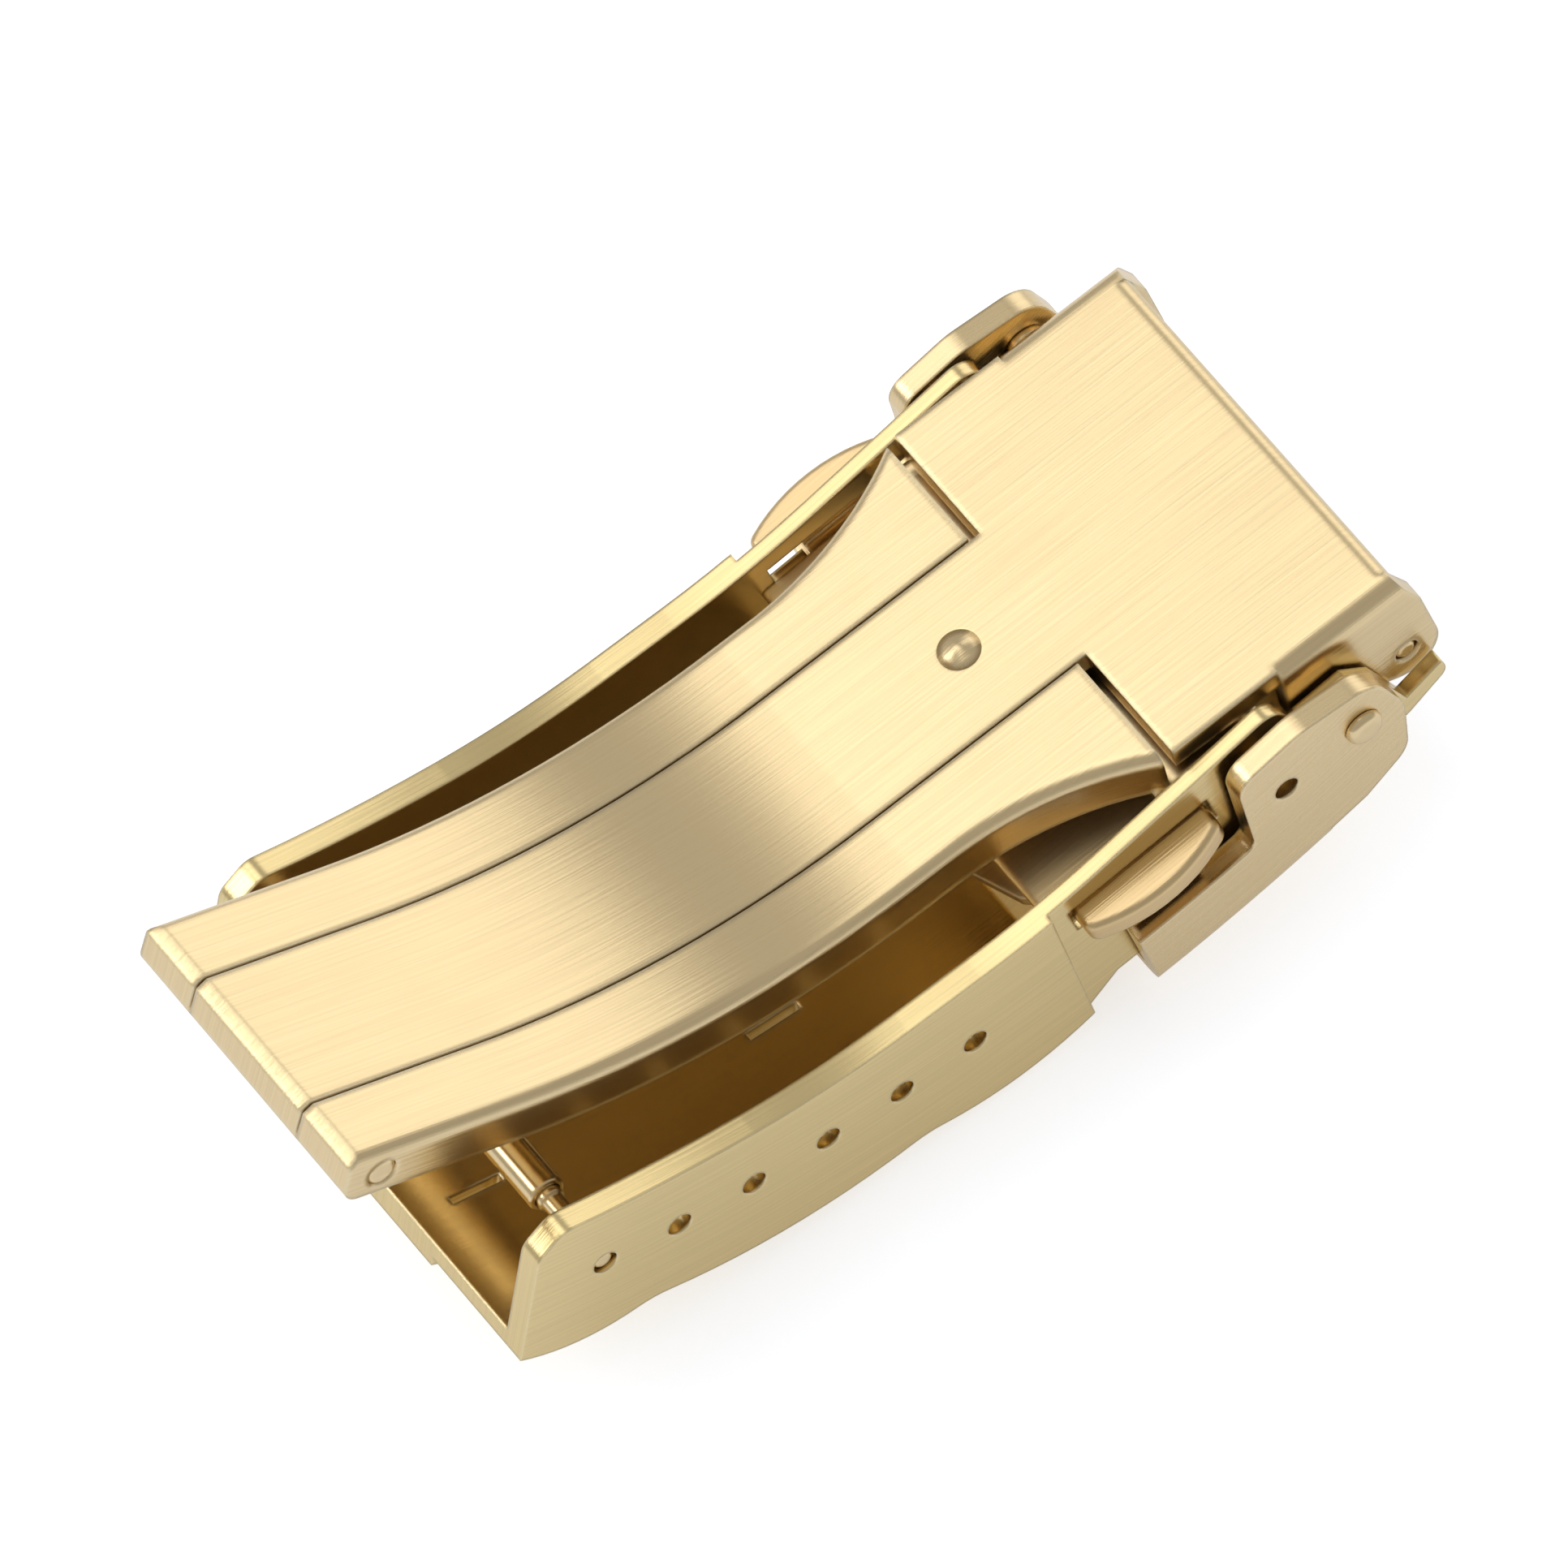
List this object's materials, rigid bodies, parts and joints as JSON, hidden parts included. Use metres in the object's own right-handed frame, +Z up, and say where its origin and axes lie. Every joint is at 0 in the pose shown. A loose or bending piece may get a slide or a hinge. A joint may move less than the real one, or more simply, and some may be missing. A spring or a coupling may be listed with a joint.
{
  "type": "deployant clasp",
  "caption": "Fold-over deployant clasp for a watch bracelet: forked and centre blades fold into a curved casing with a push-button latch and a flip lock.",
  "frame": {"origin": "middle of the footprint, on the surface that the folded clasp lies on", "axes": "+X along the bracelet towards the flip lock, +Y across it, +Z up, towards the wrist"},
  "size_m": [0.0449, 0.0226, 0.0162],
  "materials": {
    "brushed_gold": "pale gold plate, brushed along the bracelet",
    "polished_gold": "pale gold plate, polished",
    "spring_steel": "drawn wire"
  },
  "bodies": {
    "casing": {"casing": "brushed_gold", "bridge_plate": "brushed_gold", "spring_anchor": "polished_gold", "casing_hinge_pin": "polished_gold", "lock_rivet_near": "polished_gold", "lock_rivet_far": "polished_gold", "adjust_bar_tube": "polished_gold", "adjust_bar_spring": "spring_steel", "button_spring_near": "spring_steel", "button_spring_far": "spring_steel"},
    "fork": {"fork_blade": "brushed_gold", "blade_hinge_pin": "polished_gold"},
    "centre_blade": {"centre_blade": "brushed_gold", "latch_stud": "polished_gold", "end_bar_tube": "polished_gold", "end_bar_spring": "spring_steel"},
    "flip_lock": {"flip_lock": "brushed_gold"},
    "button_near": {"push_button_near": "brushed_gold", "latch_hook_near": "brushed_gold"},
    "button_far": {"push_button_far": "brushed_gold", "latch_hook_far": "brushed_gold"},
    "adjust_plunger_near": {"adjust_bar_plunger_near": "polished_gold"},
    "adjust_plunger_far": {"adjust_bar_plunger_far": "polished_gold"},
    "end_plunger_near": {"end_bar_plunger_near": "polished_gold"},
    "end_plunger_far": {"end_bar_plunger_far": "polished_gold"}
  },
  "joints": [
    {"name": "fork_hinge", "type": "hinge", "parent": "casing", "child": "fork", "pos_m": [0.01399, 0, 0.00795], "axis": [0, 1, 0], "range_deg": [0, 160]},
    {"name": "blade_hinge", "type": "hinge", "parent": "fork", "child": "centre_blade", "pos_m": [-0.02119, 0, 0.01457], "axis": [0, -1, 0], "range_deg": [0, 160]},
    {"name": "lock_hinge", "type": "hinge", "parent": "casing", "child": "flip_lock", "pos_m": [0.01744, 0, 0.00858], "axis": [0, -1, 0], "range_deg": [0, 100]},
    {"name": "button_near_slide", "type": "slide", "parent": "casing", "child": "button_near", "axis": [0, 1, 0], "range_m": [0, 0.0008], "stiffness_N_per_m": 400, "springref_m": -0.0005, "deforming": ["button_spring_near"]},
    {"name": "button_far_slide", "type": "slide", "parent": "casing", "child": "button_far", "axis": [0, -1, 0], "range_m": [0, 0.0008], "stiffness_N_per_m": 400, "springref_m": -0.0005, "deforming": ["button_spring_far"]},
    {"name": "adjust_plunger_near_slide", "type": "slide", "parent": "casing", "child": "adjust_plunger_near", "axis": [0, 1, 0], "range_m": [0, 0.001], "stiffness_N_per_m": 300, "springref_m": -0.0005, "deforming": ["adjust_bar_spring"]},
    {"name": "adjust_plunger_far_slide", "type": "slide", "parent": "casing", "child": "adjust_plunger_far", "axis": [0, -1, 0], "range_m": [0, 0.001], "stiffness_N_per_m": 300, "springref_m": -0.0005, "deforming": ["adjust_bar_spring"]},
    {"name": "end_plunger_near_slide", "type": "slide", "parent": "centre_blade", "child": "end_plunger_near", "axis": [0, 1, 0], "range_m": [0, 0.0009], "stiffness_N_per_m": 300, "springref_m": -0.0005, "deforming": ["end_bar_spring"]},
    {"name": "end_plunger_far_slide", "type": "slide", "parent": "centre_blade", "child": "end_plunger_far", "axis": [0, -1, 0], "range_m": [0, 0.0009], "stiffness_N_per_m": 300, "springref_m": -0.0005, "deforming": ["end_bar_spring"]}
  ],
  "couplings": [
    {"joint": "blade_hinge", "follows": "fork_hinge", "ratio": 1}
  ]
}
